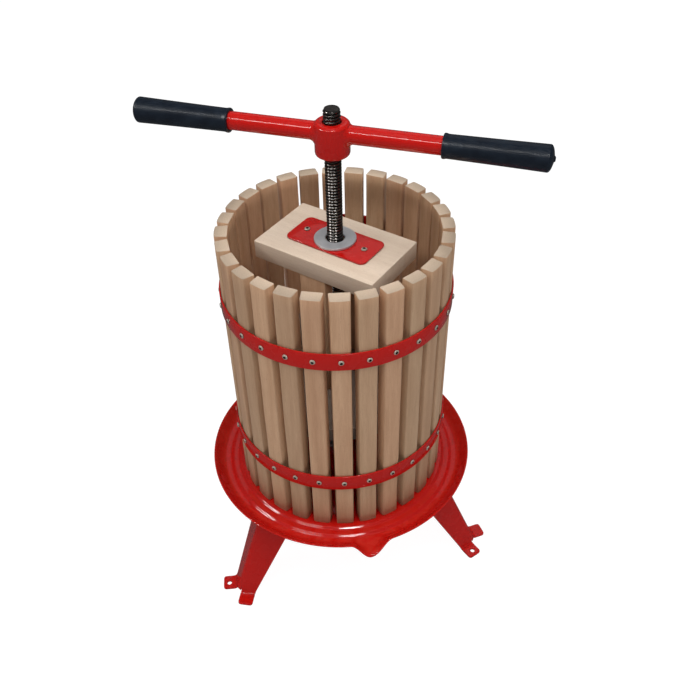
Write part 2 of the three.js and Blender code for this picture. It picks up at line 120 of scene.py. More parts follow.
def piece(name, verts, faces, sharp=CRISP):
    """A new mesh object, tidied and linked into the scene."""
    mesh = bpy.data.meshes.new(name)
    mesh.from_pydata([tuple(v) for v in verts], [], faces)
    tidy(mesh, sharp)
    obj = bpy.data.objects.new(name, mesh)
    bpy.context.scene.collection.objects.link(obj)
    return obj


def tidy(mesh, sharp):
    """Merges doubles, turns normals outwards and keeps edges over `sharp` degrees crisp."""
    bm = bmesh.new()
    bm.from_mesh(mesh)
    bmesh.ops.remove_doubles(bm, verts=bm.verts, dist=1e-6)
    bmesh.ops.dissolve_degenerate(bm, edges=bm.edges, dist=1e-7)
    bmesh.ops.recalc_face_normals(bm, faces=bm.faces)
    bm.to_mesh(mesh)
    bm.free()
    mesh.shade_smooth()
    mesh.set_sharp_from_angle(angle=math.radians(sharp))


def settle(obj, sharp=CRISP):
    """Replaces a piece's mesh by what its modifiers make of it."""
    evaluated = obj.evaluated_get(bpy.context.evaluated_depsgraph_get())
    mesh = bpy.data.meshes.new_from_object(evaluated)
    obj.modifiers.clear()
    obj.data = mesh
    tidy(mesh, sharp)
    return obj


def eased(obj, width, segments, angle=40):
    """A piece with its edges over `angle` degrees rounded off."""
    bevel = obj.modifiers.new("ease", "BEVEL")
    bevel.width = width
    bevel.segments = segments
    bevel.limit_method = "ANGLE"
    bevel.angle_limit = math.radians(angle)
    return settle(obj, EASED_CRISP)


def combined(obj, tool, operation):
    """obj joined with or cut by tool, which is used up."""
    boolean = obj.modifiers.new("combine", "BOOLEAN")
    boolean.operation = operation
    boolean.solver = "EXACT"
    boolean.object = tool
    settle(obj)
    bpy.data.objects.remove(tool)
    return obj


def loop_faces(rings, sides, close_rings):
    """Quads between rings of `sides` points each, stored one after another."""
    faces = []
    last = rings if close_rings else rings - 1
    for i in range(last):
        for j in range(sides):
            a = i * sides + j
            b = i * sides + (j + 1) % sides
            ahead = ((i + 1) % rings - i) * sides
            faces.append((a, b, b + ahead, a + ahead))
    return faces


def skin(name, rings, place=UPRIGHT, capped=True, sharp=CRISP):
    """A body through a list of rings of points, closed at both ends or back onto its first ring."""
    sides = len(rings[0])
    verts = [place @ Vector(p) for ring in rings for p in ring]
    faces = loop_faces(len(rings), sides, close_rings=not capped)
    if capped:
        faces.append(tuple(reversed(range(sides))))
        faces.append(tuple(range((len(rings) - 1) * sides, len(rings) * sides)))
    return piece(name, verts, faces, sharp)


def spun(name, profile, sides, place=UPRIGHT, closed=False, sharp=CRISP):
    """A [radius, height] profile turned about the Z axis of `place`; a closed one is a ring."""
    rings = []
    for radius, height in profile:
        ring = []
        for j in range(sides):
            angle = TURN * j / sides
            ring.append((radius * math.cos(angle), radius * math.sin(angle), height))
        rings.append(ring)
    return skin(name, rings, place, capped=not closed, sharp=sharp)


def prism(name, outline, bottom, top, place):
    """An upright body with one outline from bottom to top."""
    rings = [[(x, y, z) for x, y in outline] for z in (bottom, top)]
    return skin(name, rings, place)


def smooth_line(points, steps):
    """Catmull-Rom curve through 2-D points."""
    line = []
    for i in range(len(points) - 1):
        p0 = Vector(points[max(i - 1, 0)])
        p1 = Vector(points[i])
        p2 = Vector(points[i + 1])
        p3 = Vector(points[min(i + 2, len(points) - 1)])
        for k in range(steps):
            t = k / steps
            bend = 2 * p1 + (p2 - p0) * t
            bend += (2 * p0 - 5 * p1 + 4 * p2 - p3) * t * t
            bend += (3 * p1 - p0 - 3 * p2 + p3) * t ** 3
            line.append(tuple(bend / 2))
    line.append(tuple(points[-1]))
    return line


def arc(cx, cy, radius, start, end, steps):
    """Points of a circle arc, angles in degrees."""
    points = []
    for k in range(steps + 1):
        angle = math.radians(start + (end - start) * k / steps)
        points.append((cx + radius * math.cos(angle), cy + radius * math.sin(angle)))
    return points


def rounded_outline(length, width, corner, steps):
    """Rectangle about the origin with round corners."""
    x = length / 2 - corner
    y = width / 2 - corner
    return (
        arc(x, y, corner, 0, 90, steps) + arc(-x, y, corner, 90, 180, steps)
        + arc(-x, -y, corner, 180, 270, steps) + arc(x, -y, corner, 270, 360, steps)
    )


def hexagon(across_flats):
    return arc(0, 0, across_flats / math.sqrt(3), 0, 300, 5)


def bored(obj, radius, bottom, top, place, sides=64):
    outline = arc(0, 0, radius, 0, 360 - 360 / sides, sides - 1)
    return combined(obj, prism("bore_tool", outline, bottom, top, place), "DIFFERENCE")


def dress(obj, body, material, slot, *nodes):
    """Gives a piece its material and body and hides the nodes it stands for; slot is not used."""
    if material:
        obj.data.materials.clear()
        obj.data.materials.append(material)
    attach(obj, body)
    if nodes:
        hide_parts(*nodes)
    return obj


def merged(name, objects):
    """Several pieces as the shells of one mesh."""
    shared = list(objects[0].data.materials)
    bm = bmesh.new()
    for obj in objects:
        bm.from_mesh(obj.data)
        bpy.data.objects.remove(obj)
    mesh = bpy.data.meshes.new(name)
    bm.to_mesh(mesh)
    bm.free()
    for material in shared:
        mesh.materials.append(material)
    mesh.shade_smooth()
    mesh.set_sharp_from_angle(angle=math.radians(CRISP))
    joined = bpy.data.objects.new(name, mesh)
    bpy.context.scene.collection.objects.link(joined)
    return joined


# ------------------------------------------------------------------ materials

WHITE = (1, 1, 1, 1)
BLACK = (0, 0, 0, 1)
RAY_FLECK = (0.235, 0.13, 0.075, 1)
PINK_CAST = (1.0, 0.90, 0.885, 1)


class Graph:
    """Short-hand for building one material's nodes."""

    def __init__(self, name):
        self.material = bpy.data.materials.new(name)
        self.material.use_nodes = True
        self.tree = self.material.node_tree
        self.shader = self.tree.nodes["Principled BSDF"]

    def add(self, kind, inputs=None, **settings):
        node = self.tree.nodes.new("ShaderNode" + kind)
        for key, value in settings.items():
            setattr(node, key, value)
        for key, value in (inputs or {}).items():
            if isinstance(value, bpy.types.NodeSocket):
                self.tree.links.new(value, node.inputs[key])
            else:
                node.inputs[key].default_value = value
        return node

    def feed(self, socket, output):
        self.tree.links.new(output, self.shader.inputs[socket])

    def set(self, **values):
        for key, value in values.items():
            self.shader.inputs[key.replace("_", " ")].default_value = value

    def place(self, attribute=None):
        if attribute:
            return self.add("Attribute", attribute_name=attribute).outputs["Vector"]
        return self.add("TexCoord").outputs["Object"]

    def stretched(self, vector, scale):
        return self.add("Mapping", {"Vector": vector, "Scale": scale}).outputs["Vector"]

    def noise(self, vector, scale, detail=3.0, roughness=0.55):
        node = self.add("TexNoise", {
            "Vector": vector, "Scale": scale, "Detail": detail, "Roughness": roughness,
        })
        return node.outputs["Fac"]

    def ramp(self, value, low, high, to_low=0.0, to_high=1.0):
        node = self.add("MapRange", {
            "Value": value, "From Min": low, "From Max": high, "To Min": to_low, "To Max": to_high,
        })
        return node.outputs["Result"]

    def mix(self, amount, first, second, blend="MIX"):
        node = self.add("Mix", data_type="RGBA", blend_type=blend)
        for socket, value in ((0, amount), (6, first), (7, second)):
            if isinstance(value, bpy.types.NodeSocket):
                self.tree.links.new(value, node.inputs[socket])
            else:
                node.inputs[socket].default_value = value
        return node.outputs[2]

    def math(self, operation, first, second):
        node = self.add("Math", {0: first, 1: second}, operation=operation)
        return node.outputs["Value"]

    def bump(self, height, strength, distance):
        node = self.add("Bump", {"Height": height, "Strength": strength, "Distance": distance})
        self.feed("Normal", node.outputs["Normal"])


def red_paint():
    """Glossy enamel: an even red with faint clouds under a clear top layer."""
    g = Graph("red_paint")
    where = g.place()
    cloud = g.noise(where, 14)
    settled = g.noise(where, 60, detail=2)
    g.feed("Base Color", g.mix(cloud, (0.43, 0.0050, 0.0031, 1), (0.46, 0.0061, 0.0037, 1)))
    g.feed("Roughness", g.ramp(settled, 0.3, 0.7, 0.24, 0.30))
    g.set(Coat_Weight=1.0, Coat_Roughness=0.03, Coat_IOR=1.65, Specular_IOR_Level=0.1)
    return g.material


def scaled(colour, factor):
    return tuple(factor * channel for channel in colour[:3]) + (1,)


def beech(name, light, dark, pale_ends):
    """Planed beech. The grain attribute runs along the fibres in its first component.

    pale_ends is the colour of faces that look upwards, the sawn ends of upright timber, or None.
    """
    g = Graph(name)
    grain = g.place("grain")
    tone = g.add("SeparateXYZ", {"Vector": g.place("tone")})
    band = g.noise(g.stretched(grain, (7, 105, 105)), 1, detail=3)
    fibre = g.noise(g.stretched(grain, (60, 1500, 1500)), 1, detail=2)
    speck = g.noise(g.stretched(grain, (300, 1900, 1900)), 1, detail=1)
    colour = g.mix(g.ramp(band, 0.3, 0.7), dark, light)
    colour = g.mix(g.ramp(fibre, 0.35, 0.7, 0.0, 0.3), colour, scaled(dark, 0.72))
    fleck = g.ramp(speck, 0.66, 0.72, 0.0, 0.42)
    colour = g.mix(fleck, colour, RAY_FLECK)
    pink = g.mix(tone.outputs["Y"], WHITE, PINK_CAST)
    colour = g.mix(1.0, colour, pink, "MULTIPLY")
    # The shade from the tone attribute is each piece's own tone and also painted light and shade:
    # paler inner stave faces and darkened press boards.
    shade = g.add("CombineXYZ", {axis: tone.outputs["X"] for axis in "XYZ"}).outputs["Vector"]
    colour = g.mix(1.0, colour, shade, "MULTIPLY")
    if pale_ends:
        normal = g.add("NewGeometry").outputs["Normal"]
        facing = g.add("SeparateXYZ", {"Vector": normal}).outputs["Z"]
        pores = g.noise(g.stretched(grain, (0, 900, 900)), 1, detail=2)
        end = g.mix(g.ramp(pores, 0.35, 0.7), pale_ends, scaled(pale_ends, 0.82))
        end = g.mix(1.0, end, shade, "MULTIPLY")
        colour = g.mix(g.ramp(facing, 0.35, 0.7), colour, end)
    g.feed("Base Color", colour)
    g.feed("Roughness", g.ramp(fibre, 0.3, 0.7, 0.55, 0.7))
    g.bump(g.math("SUBTRACT", fibre, fleck), 0.28, 0.0003)
    g.set(Specular_IOR_Level=0.35)
    return g.material


def spindle_steel():
    """Dark oiled steel."""
    g = Graph("spindle_steel")
    where = g.place()
    film = g.noise(where, 260, detail=4)
    bare, oiled = (0.16, 0.147, 0.138, 1), (0.085, 0.076, 0.07, 1)
    g.feed("Base Color", g.mix(g.ramp(film, 0.35, 0.65), oiled, bare))
    g.feed("Roughness", g.ramp(film, 0.3, 0.7, 0.19, 0.25))
    g.set(Metallic=0.95)
    return g.material


def zinc(name, light, dark, gloss, metallic=0.9):
    """Zinc-plated steel; gloss is its lowest roughness."""
    g = Graph(name)
    where = g.place()
    spangle = g.noise(where, 320, detail=3)
    cloud = g.noise(where, 60, detail=2)
    g.feed("Base Color", g.mix(g.ramp(cloud, 0.3, 0.7), dark, light))
    g.feed("Roughness", g.ramp(spangle, 0.3, 0.7, gloss, gloss + 0.16))
    g.bump(spangle, 0.08, 0.0002)
    g.set(Metallic=metallic)
    return g.material


def grip_rubber():
    """Blue-black rubber with a little dust on it."""
    g = Graph("grip_rubber")
    where = g.place()
    dust = g.noise(where, 70, detail=4, roughness=0.65)
    clean, dusty = (0.0026, 0.0050, 0.0102, 1), (0.0058, 0.0112, 0.020, 1)
    g.feed("Base Color", g.mix(g.ramp(dust, 0.35, 0.75), clean, dusty))
    g.feed("Roughness", g.ramp(dust, 0.3, 0.7, 0.28, 0.38))
    g.bump(g.noise(where, 1600, detail=2), 0.1, 0.0002)
    g.set(Specular_IOR_Level=0.65)
    return g.material


RED = red_paint()
STAVE_WOOD = beech(
    "stave_beech", (0.51, 0.337, 0.207, 1), (0.415, 0.253, 0.145, 1), (0.42, 0.325, 0.24, 1),
)
BLOCK_WOOD = beech("block_beech", (0.645, 0.535, 0.425, 1), (0.57, 0.455, 0.35, 1), None)
STEEL = spindle_steel()
ZINC = zinc("zinc", (0.40, 0.42, 0.44, 1), (0.30, 0.32, 0.34, 1), 0.36)
SCREW = zinc("screw_zinc", (0.66, 0.58, 0.49, 1), (0.50, 0.44, 0.37, 1), 0.3, 0.55)
# Painted shade: a near-black material for the screws' cross recesses and the foot of their heads.
PAINTED_SHADE = zinc("painted_recess_shade", (0.03, 0.028, 0.026, 1), (0.015, 0.014, 0.014, 1), 0.6)
WASHER = zinc("washer_zinc", (0.66, 0.66, 0.675, 1), (0.56, 0.565, 0.58, 1), 0.45, 0.65)
RUBBER = grip_rubber()

# Painted light: how much paler the inner faces of the staves are made, in place of light bounced
# inside the basket.
PAINTED_INNER_LIGHT = 1.3


def mark_grain(obj, place, along, seed, shade, pink, painted_light_within=0.0):
    """Stores where each point lies in the timber, along the fibres first, its shade and pinkness.

    Points nearer to the axis than the radius given last are made paler by a fixed factor: painted
    light that stands in for light bounced onto the inner faces of the basket.
    """
    rng = random.Random(seed)
    offset = Vector((rng.uniform(0, 9), rng.uniform(0, 9), rng.uniform(0, 9)))
    back = place.inverted()
    mesh = obj.data
    grain = mesh.attributes.new("grain", "FLOAT_VECTOR", "POINT")
    tone = mesh.attributes.new("tone", "FLOAT_VECTOR", "POINT")
    for i, vertex in enumerate(mesh.vertices):
        p = back @ vertex.co
        painted_lift = PAINTED_INNER_LIGHT if math.hypot(p.x, p.y) < painted_light_within else 1.0
        if along == "Z":
            p = Vector((p.z, p.x, p.y))
        grain.data[i].vector = p + offset
        tone.data[i].vector = (shade * painted_lift, pink, 0)


# ------------------------------------------------------------------ tray

TRAY_FLOOR = 162.2 * MM
TRAY_SHEET = 2 * MM
TRAY_HOLE = 10.8 * MM
TRAY_RIM = 192 * MM
TRAY_LIP = 170.5 * MM
TRAY_STEPS = [(151.6 * MM, 156.7 * MM, 2.6 * MM), (162.8 * MM, 168.2 * MM, 2.8 * MM)]
FLANGE_START = 172 * MM
FLANGE_END = TRAY_RIM - 0.8 * TRAY_SHEET
FLANGE_SWEEP = 0.62 * math.pi
SPOUT_START = 166 * MM
SPOUT_REACH = 9 * MM
SPOUT_DROP = 16.8 * MM
SPOUT_SIDE = 9.0
SPOUT_TIP = -1.2


def share_between(value, start, end):
    return min(max((value - start) / (end - start), 0.0), 1.0)


def tray_height(radius):
    """Upper face of the sheet: floor, two steps, trough and a flange that sweeps up to the rim."""
    height = TRAY_FLOOR
    trough = TRAY_FLOOR
    for start, end, drop in TRAY_STEPS:
        t = share_between(radius, start, end)
        height -= drop * t * t * (3 - 2 * t)
        trough -= drop
    sweep = 1 - math.cos(FLANGE_SWEEP * share_between(radius, FLANGE_START, FLANGE_END))
    return height + (TRAY_LIP - trough) * sweep / (1 - math.cos(FLANGE_SWEEP))


def tray_direction(radius):
    """Direction of the sheet at a radius, averaged over its thickness."""
    reach = 1.5 * TRAY_SHEET
    past = min(radius + reach, FLANGE_END)
    rise = tray_height(past) - tray_height(radius - reach)
    return Vector((past - radius + reach, rise)).normalized()


def between(start, end, steps):
    return [start + (end - start) * k / steps for k in range(steps + 1)]


def tray_section():
    """Closed section of the sheet, from the spindle hole out over the rim and back underneath."""
    (first, second, _), (third, fourth, _) = TRAY_STEPS
    radii = between(TRAY_HOLE, first, 8) + between(first, second, 14)[1:]
    radii += between(second, third, 5)[1:] + between(third, fourth, 14)[1:]
    radii += between(fourth, FLANGE_START, 3)[1:] + between(FLANGE_START, FLANGE_END, 16)[1:]
    top = [(radius, tray_height(radius)) for radius in radii]
    under = []
    for radius, height in top:
        along = tray_direction(radius)
        under.append((radius + TRAY_SHEET * along.y, height - TRAY_SHEET * along.x))
    under[0] = (radii[0], TRAY_FLOOR - TRAY_SHEET)
    along = tray_direction(FLANGE_END)
    slope = math.degrees(math.atan2(along.y, along.x))
    middle = (Vector(top[-1]) + Vector(under[-1])) / 2
    edge = arc(middle.x, middle.y, TRAY_SHEET / 2, slope + 90, slope - 90, 8)
    return top + edge[1:-1] + under[::-1]


def spout_pull(degrees):
    """How strongly the spout pulls the flange; its tip stands slightly left of its middle."""
    from_tip = degrees - SPOUT_TIP
    side = SPOUT_SIDE - math.copysign(1.0, from_tip) * SPOUT_TIP
    return 0.5 + 0.5 * math.cos(math.pi * min(abs(from_tip) / side, 1.0))


def make_tray():
    """Sweeps the section round the spindle; the spout pulls the flange out and down."""
    section = tray_section()
    fine, coarse = 72, 220
    angles = [-SPOUT_SIDE + 2 * SPOUT_SIDE * i / fine for i in range(fine)]
    angles += [SPOUT_SIDE + (360 - 2 * SPOUT_SIDE) * i / coarse for i in range(coarse)]
    rings = []
    for angle in angles:
        pull = spout_pull(angle if angle <= 180 else angle - 360)
        turn = math.radians(angle - 90)
        ring = []
        for radius, height in section:
            share = share_between(radius, SPOUT_START, TRAY_RIM)
            reach = radius + SPOUT_REACH * pull * share
            drop = SPOUT_DROP * pull * share * share
            ring.append((reach * math.cos(turn), reach * math.sin(turn), height - drop))
        rings.append(ring)
    tray = skin("tray_pressed", rings, capped=False, sharp=75)
    dress(tray, "base", RED, "red_paint", "tray")


make_tray()

# ------------------------------------------------------------------ legs

LEG_SHEET = 3 * MM
LEG_FOOT = 223 * MM
LEG_LEAN = 0.461
LEG_HALF = 22 * MM
LEG_WIDENING = 0.145
FOLD_SLOPE = 0.778
FOLD_ROUND = 4.5 * MM
TAB_START = 5.1 * MM
TAB_LENGTH = 19.5 * MM
TAB_CORNER = 4 * MM
TAB_BEND = 4.5 * MM
TAB_HOLE = 3.5 * MM
TAB_HOLE_AT = (LEG_FOOT - 2.9 * MM, -19.6 * MM, 0)
LEG_BOLT = 118.5 * MM
LEG_BOLT_BORE = 4.4 * MM
LEG_BOLT_TIP = 143 * MM
FLANGE_TOP = 159.9 * MM
FLANGE_DEPTH = 12 * MM


def leg_point(share, height):
    """Outer face of the folded leg; share runs from -1 to 1 across it."""
    across = share * (LEG_HALF + LEG_WIDENING * height)
    away = abs(across)
    if away < FOLD_ROUND:
        away = away * away / (2 * FOLD_ROUND) + FOLD_ROUND / 2
    return Vector((LEG_FOOT - LEG_LEAN * height - FOLD_SLOPE * away, across, height))


def tab_rows(share):
    """The bend and the flat tab below one line of the leg's side."""
    side = 1 if share > 0 else -1
    fold = math.hypot(1, FOLD_SLOPE)
    out = Vector((1 / fold, side * FOLD_SLOPE / fold, 0))
    foot = leg_point(share, LEG_SHEET)
    above = leg_point(share, LEG_SHEET + TAB_BEND)
    beyond = foot + out * TAB_BEND
    rows = []
    for k in range(5):
        t = k / 4
        rows.append(above * (1 - t) ** 2 + foot * 2 * t * (1 - t) + beyond * t * t)
    run = abs(share) * LEG_HALF
    edge = min(run - TAB_START, LEG_HALF - run) * fold
    cut = 0.0
    if edge < TAB_CORNER:
        cut = TAB_CORNER - math.sqrt(max(TAB_CORNER ** 2 - (TAB_CORNER - edge) ** 2, 0))
    reach = TAB_LENGTH - cut
    for k in range(1, 5):
        rows.append(beyond + out * (reach - TAB_BEND) * k / 4)
    return rows


def leg_shell():
    """The leg's outer face as a grid of points; only the columns over the tabs go on into them.

    tab holds those columns' places in millimetres from the tab's inner edge.
    """
    tab = [0, 0.4, 1.1, 2.2, 4, 6.5, 9, 12.9, 14.7, 15.8, 16.5, 16.9]
    half = [(TAB_START + t * MM) / LEG_HALF for t in tab]
    middle = [-0.18, -0.12, -0.06, 0, 0.06, 0.12, 0.18]
    columns = [-s for s in reversed(half)] + middle + half
    tops = 14
    verts, faces, grid = [], [], []
    for share in columns:
        is_tab = abs(share) * LEG_HALF > TAB_START - 0.01 * MM
        arch = 1 - (abs(share) * LEG_HALF / TAB_START) ** 2
        low = LEG_SHEET + TAB_BEND if is_tab else LEG_SHEET + (1.5 + 3 * arch) * MM
        high = FLANGE_TOP - LEG_SHEET / 2
        line = [leg_point(share, high + (low - high) * k / tops) for k in range(tops + 1)]
        if is_tab:
            line += tab_rows(share)[1:]
        grid.append(list(range(len(verts), len(verts) + len(line))))
        verts += line
    for left, right in zip(grid, grid[1:]):
        for k in range(min(len(left), len(right)) - 1):
            faces.append((left[k], right[k], right[k + 1], left[k + 1]))
    return verts, faces


def make_leg(name, azimuth):
    """Folded sheet with a bolting flange joined on at its top, and its carriage bolt and nut."""
    place = turned(math.radians(azimuth))
    verts, faces = leg_shell()
    leg = piece(name + "_folded", [place @ v for v in verts], faces)
    if leg.data.polygons[0].normal.z < 0:
        leg.data.flip_normals()
    sheet = leg.modifiers.new("sheet", "SOLIDIFY")
    sheet.thickness = LEG_SHEET
    sheet.offset = -1
    sheet.use_even_offset = True
    settle(leg)
    top = leg_point(1, FLANGE_TOP - LEG_SHEET)
    ridge = leg_point(0, FLANGE_TOP - LEG_SHEET)
    inner = top.x - FLANGE_DEPTH
    outline = [
        (ridge.x - 0.5 * MM, 0), (top.x, top.y), (inner, top.y), (inner, -top.y), (top.x, -top.y),
    ]
    flange = prism("flange_tool", outline, FLANGE_TOP - LEG_SHEET, FLANGE_TOP, place)
    combined(leg, flange, "UNION")
    at_bolt = place @ Matrix.Translation((LEG_BOLT, 0, 0))
    bored(leg, LEG_BOLT_BORE, FLANGE_TOP - 5 * MM, FLANGE_TOP + 2 * MM, at_bolt, 32)
    bored(leg, TAB_HOLE, -2 * MM, 6 * MM, place @ Matrix.Translation(TAB_HOLE_AT), 32)
    eased(leg, 0.5 * MM, 2)
    dress(leg, "base", RED, "red_paint", name)
    make_leg_fastener(name, at_bolt)


def make_leg_fastener(name, place):
    seat = TRAY_FLOOR + 0.3 * MM
    shank = 4 * MM
    head = smooth_line([
        (10 * MM, 0), (9.9 * MM, 0.7 * MM), (7.6 * MM, 3.0 * MM), (4 * MM, 3.95 * MM),
        (0.3 * MM, 4.2 * MM),
    ], 4)
    profile = [
        (shank - 1 * MM, LEG_BOLT_TIP), (shank, LEG_BOLT_TIP + 1 * MM), (shank, seat),
        (9.7 * MM, seat),
    ]
    profile += [(r, seat + z) for r, z in head]
    bolt = spun(name + "_carriage_bolt", profile, 48, place)
    dress(bolt, "base", ZINC, "zinc", name + "_bolt")
    low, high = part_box(name + "_nut")
    nut = make_nut(name + "_hex_nut", 13 * MM, 4.3 * MM, low.z, high.z, place)
    dress(nut, "base", ZINC, "zinc", name + "_nut")


def make_nut(name, across_flats, bore, bottom, top, place):
    """Hexagon nut with its corners turned down at both ends."""
    nut = prism(name, hexagon(across_flats), bottom, top, place)
    round_off = across_flats / 2
    reach = across_flats * 0.62
    chamfer = (reach - round_off) * 0.55
    barrel = spun("barrel_tool", [
        (round_off, bottom - 0.01 * MM), (reach, bottom + chamfer), (reach, top - chamfer),
        (round_off, top + 0.01 * MM),
    ], 64, place)
    combined(nut, barrel, "INTERSECT")
    return bored(nut, bore, bottom - 1 * MM, top + 1 * MM, place, 48)


for leg_name, leg_azimuth in LEGS.items():
    make_leg(leg_name, leg_azimuth)

# ------------------------------------------------------------------ spindle and its anchorage

PITCH = 4 * MM
CREST = 10 * MM
ROOT = 7.9 * MM
THREAD_START = 176 * MM


def make_spindle():
    """Trapezoidal thread as a helical strip whose last point is the first one of the next turn.

    strip holds its points as [share of the pitch, radius]; the crest slopes off on its upper side.
    """
    around = 48
    strip = [(0.0, ROOT), (0.3, ROOT), (0.4, CREST - 0.3 * MM), (0.46, CREST), (0.62, CREST),
             (0.86, CREST - 0.86 * MM)]
    top = spindle_high.z
    turns = (top - THREAD_START) / PITCH
    rows = int(turns * around)
    width = len(strip)

    def point(row, k):
        share, radius = strip[k]
        z = min(THREAD_START + PITCH * (row / around + share), top)
        radius = min(radius, 8.6 * MM + 0.6 * (top - z))
        angle = TURN * row / around
        return AXIS + Vector((radius * math.cos(angle), radius * math.sin(angle), z))

    verts = [point(row, k) for row in range(rows + 1) for k in range(width)]
    extra = len(verts)
    verts += [point(row, 0) for row in range(rows + 1, rows + around + 1)]

    def index(row, k):
        if k == width:
            row, k = row + around, 0
        if row > rows:
            return extra + row - rows - 1
        return row * width + k

    faces = []
    for row in range(rows):
        for k in range(width):
            above = row + 1
            faces.append((index(row, k), index(above, k), index(above, k + 1), index(row, k + 1)))
    low_centre = len(verts)
    verts.append(AXIS + Vector((0, 0, THREAD_START)))
    verts.append(AXIS + Vector((0, 0, top - 0.15 * MM)))
    low = [index(row, 0) for row in range(around + 1)]
    low += [index(0, k) for k in range(width - 1, 0, -1)]
    high = [index(rows, k) for k in range(width + 1)]
    high += [index(row, 0) for row in range(rows + around - 1, rows, -1)]
    for loop, centre in ((low, low_centre), (high, low_centre + 1)):
        for a, b in zip(loop, loop[1:] + loop[:1]):
            faces.append((a, b, centre))
    thread = piece("spindle_thread", verts, faces, 15)
    dress(thread, "base", STEEL, "spindle_steel", "spindle")
    low_z = spindle_low.z
    shank = spun("spindle_shank", [
        (8.2 * MM, low_z), (CREST, low_z + 1.8 * MM), (CREST, THREAD_START - 1 * MM),
        (CREST - 1 * MM, THREAD_START), (7.5 * MM, THREAD_START + 1.5 * MM),
    ], 64)
    dress(shank, "base", STEEL, "spindle_steel")


def make_anchorage():
    """Disc and two nuts that hold the spindle in the tray."""
    low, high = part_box("anchor_plate")
    rim, bore, edge = 45 * MM, 10.6 * MM, 0.6 * MM
    plate = spun("anchor_disc", [
        (bore, low.z), (rim - edge, low.z), (rim, low.z + edge),
        (rim, high.z - edge), (rim - edge, high.z), (bore, high.z),
    ], 96, closed=True)
    dress(plate, "base", ZINC, "zinc", "anchor_plate")
    for name in ("spindle_nut_upper", "spindle_nut_lower"):
        low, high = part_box(name)
        nut = make_nut(name + "_hex", 30 * MM, 10.3 * MM, low.z, high.z, UPRIGHT)
        dress(nut, "base", ZINC, "zinc", name)


make_spindle()
make_anchorage()

# ------------------------------------------------------------------ basket

STAVE_OUT = 147.2 * MM
STAVE_THICK = 16.5 * MM
STAVE_OUT_HALF = 11.6 * MM
STAVE_IN_HALF = 12.6 * MM
STAVE_CROWN = 0.6 * MM


def stave_section(height, rng_seed, pinch):
    """One section of a stave: four eased corners and a slightly crowned outer face."""
    inner = STAVE_OUT - STAVE_THICK
    corners = [
        (inner, -STAVE_IN_HALF), (STAVE_OUT - STAVE_CROWN, -STAVE_OUT_HALF),
        (STAVE_OUT - STAVE_CROWN, STAVE_OUT_HALF), (inner, STAVE_IN_HALF),
    ]
    section = []
    count = len(corners)
    for i, corner in enumerate(corners):
        here = Vector(corner)
        before = (Vector(corners[i - 1]) - here).normalized()
        after = (Vector(corners[(i + 1) % count]) - here).normalized()
        wander = noise.noise(Vector((height * 16, rng_seed * 1.7 + i * 5.3, 0)))
        ease = (1.15 + 0.8 * wander if i in (0, 3) else 1.9 + 1.4 * wander) * MM
        first = here + before * ease
        last = here + after * ease
        middle = (first + last) / 4 + here / 2
        section += [first, middle, last]
        if i == 1:
            for t in (-0.5, 0.0, 0.5):
                crown = STAVE_CROWN * (1 - (2 * t) ** 2 * 0.45)
                section.append(Vector((STAVE_OUT - STAVE_CROWN + crown, t * STAVE_OUT_HALF * 1.2)))
    centre = Vector((STAVE_OUT - STAVE_THICK / 2, 0))
    shrink = Vector((1 - pinch / (STAVE_THICK / 2), 1 - pinch / STAVE_OUT_HALF))
    return [centre + Vector(((p.x - centre.x) * shrink.x, p.y * shrink.y)) for p in section]


def make_stave(number):
    """One stave with slightly uneven corners, height, place and tone."""
    node = f"stave_{number:02d}"
    rng = random.Random(700 + number)
    low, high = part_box(node)
    bottom, top = low.z, high.z - rng.uniform(0, 0.7) * MM
    ends = [(0, 0.55 * MM), (0.2 * MM, 0.2 * MM), (0.6 * MM, 0)]
    heights = [(bottom + z, pinch) for z, pinch in ends]
    steps = 26
    for k in range(1, steps):
        heights.append((bottom + (top - bottom) * k / steps, 0))
    heights += [(top - z, pinch) for z, pinch in reversed(ends)]
    rings = [
        [(p.x, p.y, height) for p in stave_section(height, number, pinch)]
        for height, pinch in heights
    ]
    azimuth = FIRST_STAVE + TURN * (number - 1) / STAVE_COUNT
    place = turned(azimuth)
    middle = Matrix.Translation((STAVE_OUT, 0, 0))
    sway = Matrix.Rotation(math.radians(rng.uniform(-1.3, 1.3)), 4, "Z")
    slide = Matrix.Translation((0, rng.uniform(-0.35, 0.35) * MM, 0))
    stand = place @ slide @ middle @ sway @ middle.inverted()
    stave = skin(node + "_beech", rings, stand, sharp=60)
    # The stave's inner half is painted paler: painted light for the light bounced inside the
    # basket.
    mark_grain(stave, place, "Z", 40 + number, rng.uniform(0.86, 1.08), rng.uniform(0, 1),
               STAVE_OUT - STAVE_THICK / 2)
    dress(stave, "basket", STAVE_WOOD, "beech", node)


def make_band(node):
    """Flat hoop with eased edges; gives its middle height and its outer radius."""
    low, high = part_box(node)
    centre = (low.z + high.z) / 2
    outer = STAVE_OUT + 2.4 * MM
    sheet = 2 * MM
    outline = rounded_outline(sheet, high.z - low.z, 0.55 * MM, 3)
    profile = [(outer - sheet / 2 + x, centre + y) for x, y in outline]
    band = spun(node + "_hoop", profile, 224, closed=True, sharp=50)
    dress(band, "basket", RED, "red_paint", node)
    return centre, outer


def cross_recess(radius, depth, place):
    """Tool that cuts a cross-shaped driver recess into a screw head standing along +Z."""
    arm = radius * 0.72
    web = radius * 0.42
    outline = [
        (arm, web), (web, web), (web, arm), (-web, arm), (-web, web), (-arm, web),
        (-arm, -web), (-web, -web), (-web, -arm), (web, -arm), (web, -web), (arm, -web),
    ]
    rings = []
    for z, scale in ((-depth, 0.55), (depth * 2, 1.1)):
        rings.append([(x * scale, y * scale, z) for x, y in outline])
    return skin("recess_tool", rings, place)


